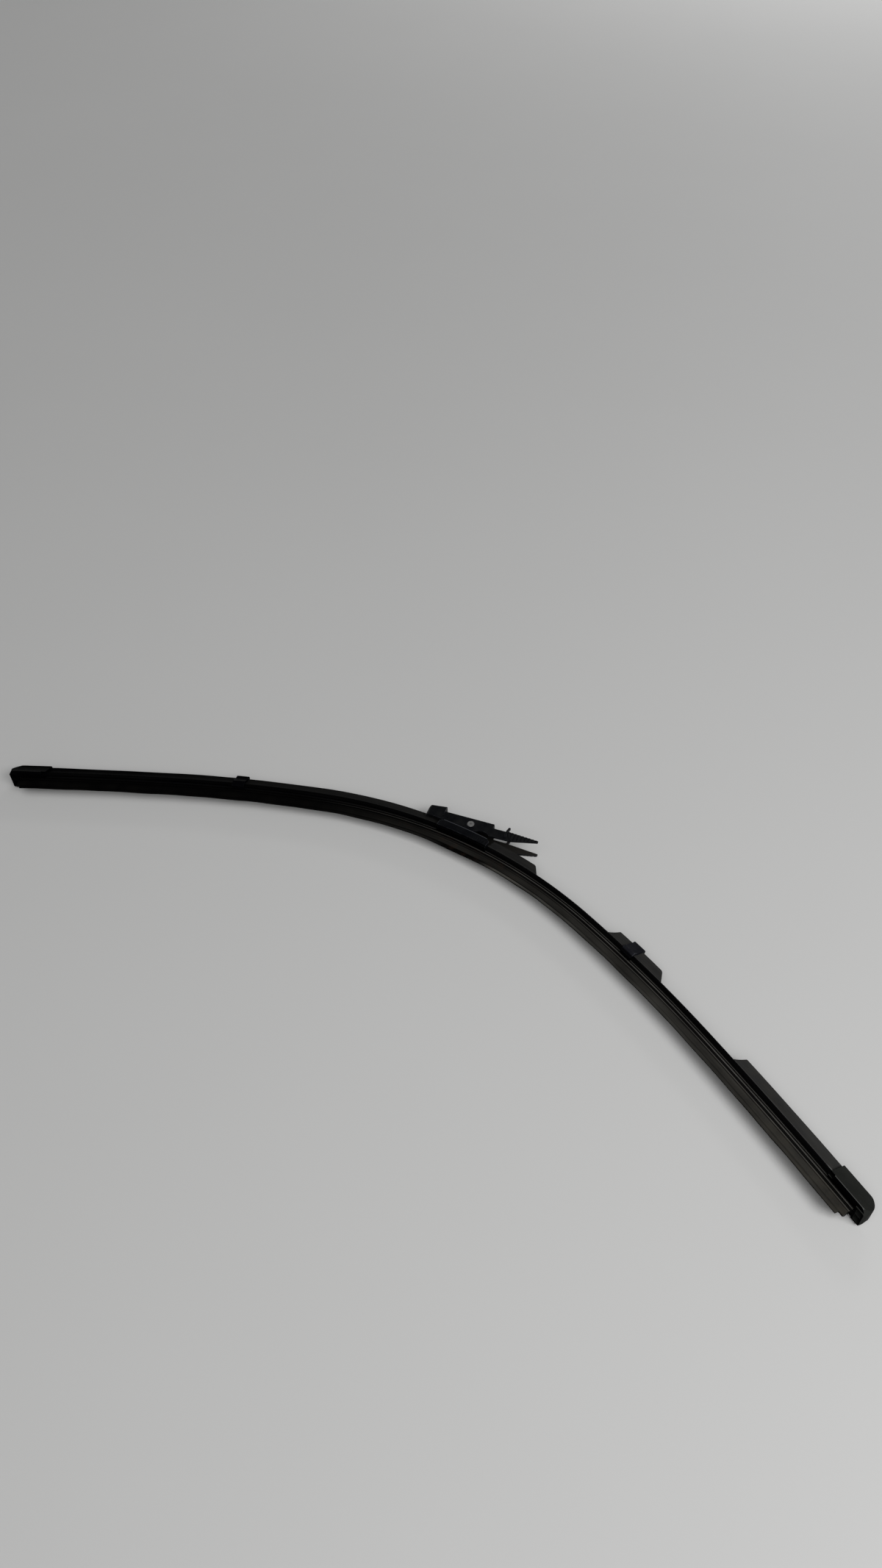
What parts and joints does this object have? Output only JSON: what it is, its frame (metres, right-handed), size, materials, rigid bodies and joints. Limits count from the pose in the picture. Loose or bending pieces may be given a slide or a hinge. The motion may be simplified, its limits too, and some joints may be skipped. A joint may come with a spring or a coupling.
{
  "type": "wiper blade",
  "caption": "Flat car wiper blade, bowed in its free state, with a rubber lip on spring rails, a notched spoiler, end caps, rail clips and a rocking squeeze-tab arm adaptor.",
  "frame": {"origin": "middle of the box that holds the blade, on the ground it lies on", "axes": "the blade lies on its side: +X runs along it, +Y from the lip towards the arm's side, +Z sideways, away from the ground"},
  "size_m": [0.6534, 0.1468, 0.0168],
  "materials": {
    "wiping_rubber": "dull black rubber, dusty and slightly brown from use",
    "rail_steel": "black coated spring steel",
    "spoiler_rubber": "matt dark grey soft fin on a black hard base",
    "cap_plastic": "fine satin dark grey moulding",
    "connector_plastic": "satin black moulding with a cool tint",
    "pin_steel": "bare steel rivet, faintly scuffed"
  },
  "bodies": {
    "blade": {"wiper_rubber": "wiping_rubber", "spring_rail_upper": "rail_steel", "spring_rail_lower": "rail_steel", "spoiler_left": "spoiler_rubber", "spoiler_right": "spoiler_rubber", "end_cap_left": "cap_plastic", "end_cap_right": "cap_plastic", "rail_clip_left": "cap_plastic", "rail_clip_right": "cap_plastic", "connector_base": "connector_plastic", "pivot_pin": "pin_steel"},
    "adaptor": {"arm_adaptor": "connector_plastic"}
  },
  "joints": [
    {"name": "adaptor_pivot", "type": "hinge", "parent": "blade", "child": "adaptor", "pos_m": [0, 0.06341, 0.0084], "axis": [0, 0, 1], "range_deg": [-14, 3]}
  ]
}
